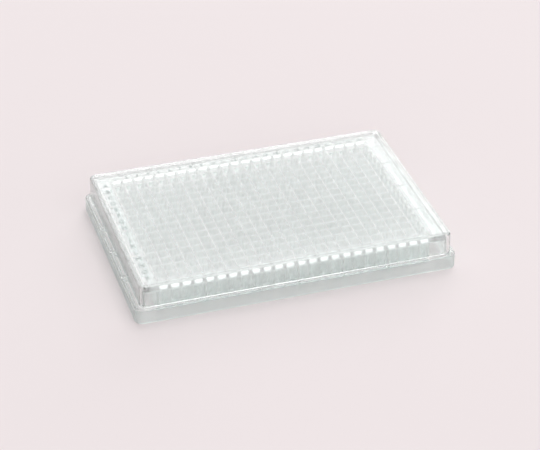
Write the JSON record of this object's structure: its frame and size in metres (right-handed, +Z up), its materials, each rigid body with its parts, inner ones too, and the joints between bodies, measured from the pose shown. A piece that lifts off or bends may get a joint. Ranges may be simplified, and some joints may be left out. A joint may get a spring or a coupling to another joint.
{
  "type": "lidded 384-well plate",
  "caption": "Flat clear plastic laboratory plate with a dense grid of small square wells and a loose clear lid that rests on its rim.",
  "frame": {"origin": "centre of the footprint, on the surface that the plate stands on", "axes": "+X along the long side, in the direction of rising column numbers; +Y along the short side, towards the first row; +Z up, through the open tops of the wells"},
  "size_m": [0.1278, 0.0854, 0.0151],
  "materials": {
    "plate_plastic": "clear moulded polystyrene, glossy, faint green-grey tint",
    "lid_plastic": "clear moulded polystyrene, glossy"
  },
  "bodies": {
    "root": {"plate": "plate_plastic", "lid": "lid_plastic"}
  },
  "joints": []
}
